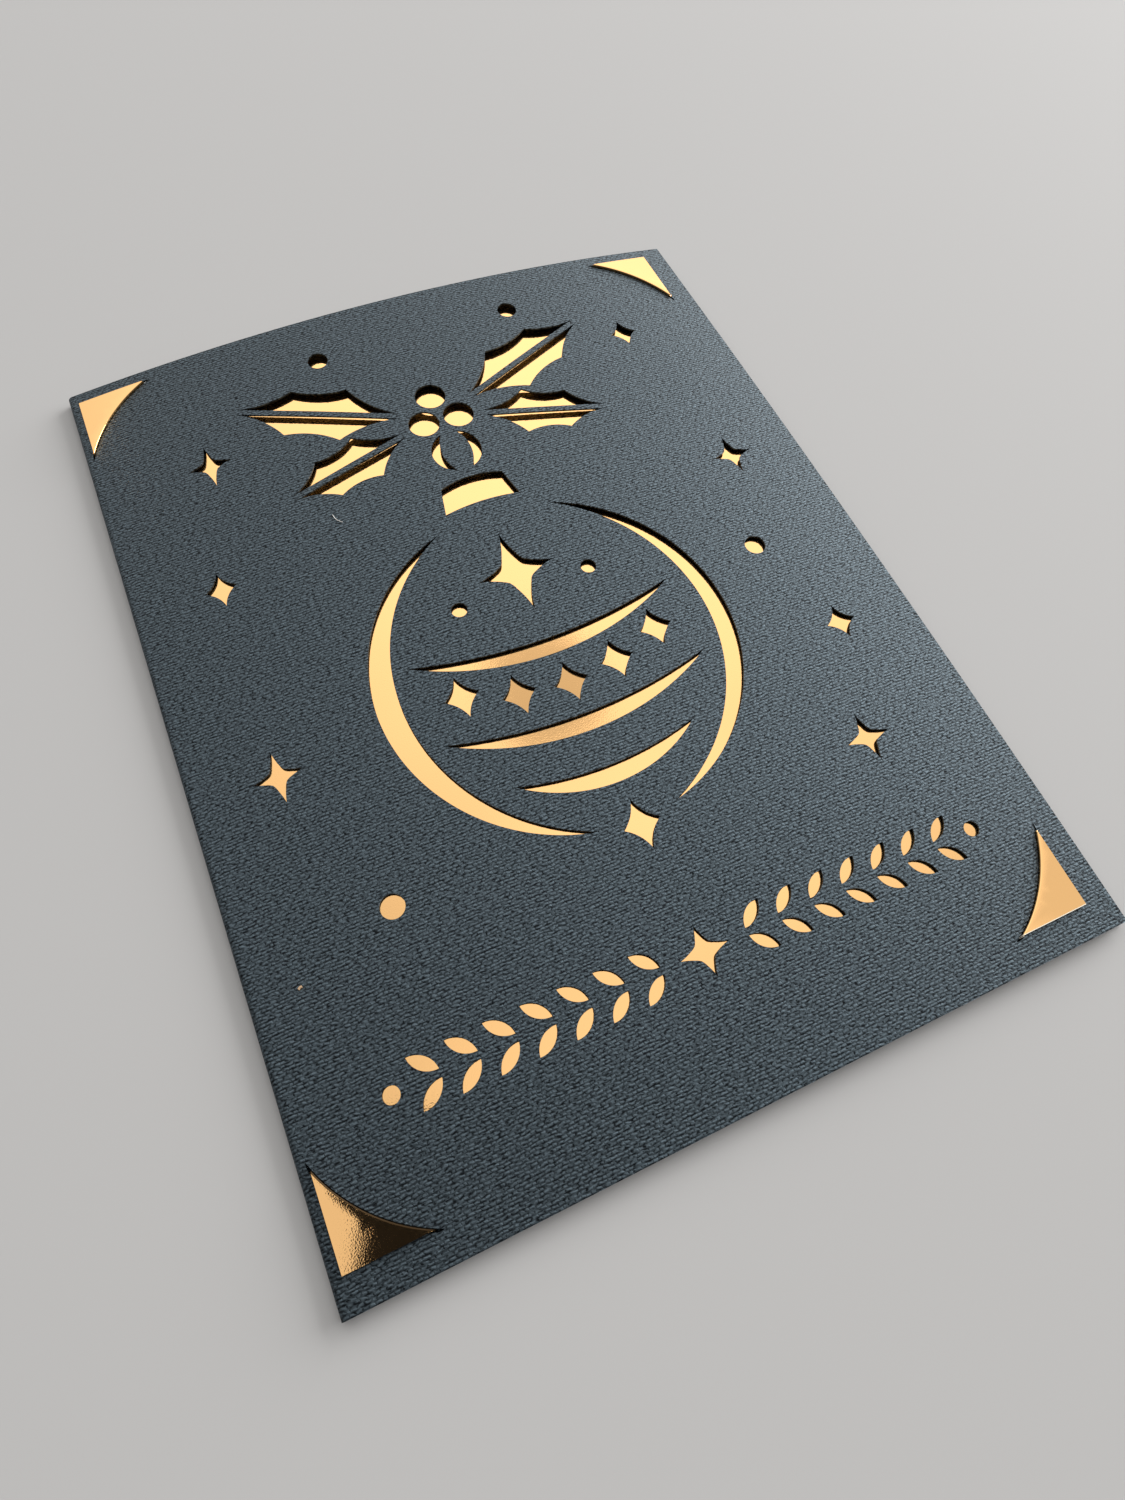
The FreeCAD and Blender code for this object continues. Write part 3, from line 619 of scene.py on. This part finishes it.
def make_camera():
    """Camera at the photo's place."""
    data = bpy.data.cameras.new("camera")
    data.lens = LENS
    data.clip_start = CLIP_START * MM
    camera = bpy.data.objects.new("camera", data)
    camera.location = CAMERA_PLACE * MM
    camera.rotation_euler = CAMERA_TURN
    bpy.context.scene.collection.objects.link(camera)
    bpy.context.scene.camera = camera


def make_floor():
    """Plain pale floor."""
    bpy.ops.mesh.primitive_plane_add(size=FLOOR_SIZE, location=(0, 0, -FLOOR_DROP * MM))
    floor = bpy.context.object
    floor.name = "floor"
    floor.data.materials.append(plain_material("pale_floor", "#b2b1b0", 0.9))


# Patches of the room that are dimmer or brighter than what is round them: azimuth, elevation,
# outer and inner radius, all in degrees, and the change of the light in the patch.
ROOM_PATCHES = ((105, 77, 22, 8, 1.3), (28, 64, 5.0, 4.2, 0.55), (42.3, 30.2, 3.2, 1.6, 1.6))


def make_room():
    """Room light that brightens towards the far right, with a few patches in it."""
    world = bpy.data.worlds.new("room")
    bpy.context.scene.world = world
    world.use_nodes = True
    tree = world.node_tree
    direction = add_node(tree, "ShaderNodeTexCoord").outputs["Generated"]
    bright_side = add_node(tree, "ShaderNodeVectorMath", {"operation": "DOT_PRODUCT"},
                           i0=direction)
    bright_side.inputs[1].default_value = towards(*ROOM_BRIGHT_WAY)
    level = add_node(tree, "ShaderNodeValToRGB", Fac=bright_side.outputs["Value"])
    low, high = level.color_ramp.elements
    low.position, high.position = 0.0, 1.0
    low.color = (0.12, 0.12, 0.12, 1)
    high.color = (1.72, 1.7, 1.68, 1)
    for position, shade in ((0.4, 0.87), (0.7, 0.87)):
        level.color_ramp.elements.new(position).color = (shade, shade - 0.01, shade - 0.02, 1)
    strength = None
    for azimuth, elevation, outer, inner, change in ROOM_PATCHES:
        nearness = add_node(tree, "ShaderNodeVectorMath", {"operation": "DOT_PRODUCT"},
                            i0=direction)
        nearness.inputs[1].default_value = towards(azimuth, elevation)
        patch = add_node(tree, "ShaderNodeMapRange",
                         {"From Min": math.cos(math.radians(outer)),
                          "From Max": math.cos(math.radians(inner)),
                          "To Min": 1.0, "To Max": change},
                         Value=nearness.outputs["Value"]).outputs["Result"]
        if strength is None:
            strength = patch
        else:
            strength = add_node(tree, "ShaderNodeMath", {"operation": "MULTIPLY"},
                                i0=strength, i1=patch).outputs["Value"]
    tree.links.new(level.outputs["Color"], tree.nodes["Background"].inputs["Color"])
    tree.links.new(strength, tree.nodes["Background"].inputs["Strength"])


def make_window():
    """Soft window light that comes in low over the card from the right."""
    data = bpy.data.lights.new("window", "AREA")
    data.shape = "RECTANGLE"
    data.size, data.size_y = WINDOW_SIZE
    data.energy = WINDOW_POWER
    window = bpy.data.objects.new("window", data)
    way = towards(*WINDOW_WAY)
    window.location = way * WINDOW_DISTANCE
    window.rotation_euler = way.to_track_quat("Z", "Y").to_euler()
    bpy.context.scene.collection.objects.link(window)


def make_dark_plate():
    """Dark plate beside the camera, seen only in the foil and in the card's sheen."""
    up = Vector((math.sin(-CAMERA_TURN.z), math.cos(-CAMERA_TURN.z), 0))
    right = Vector((up.y, -up.x, 0))
    middle = CAMERA_PLACE + up * -PLATE_DOWN + right * PLATE_RIGHT + Vector((0, 0, PLATE_ABOVE))
    bpy.ops.mesh.primitive_plane_add(size=1, location=middle * MM,
                                     rotation=(0, 0, CAMERA_TURN.z))
    plate = bpy.context.object
    plate.name = "dark_plate"
    plate.scale = (PLATE_SIZE[0] * MM, PLATE_SIZE[1] * MM, 1)
    plate.data.materials.append(plain_material("dark_plate", "#1a1e26", 0.9))
    plate.visible_camera = False
    plate.visible_diffuse = False
    plate.visible_shadow = False


bpy.context.scene.view_settings.view_transform = "Standard"
make_camera()
make_floor()
make_room()
make_window()
make_dark_plate()
make_card()
make_foil()
make_dust()
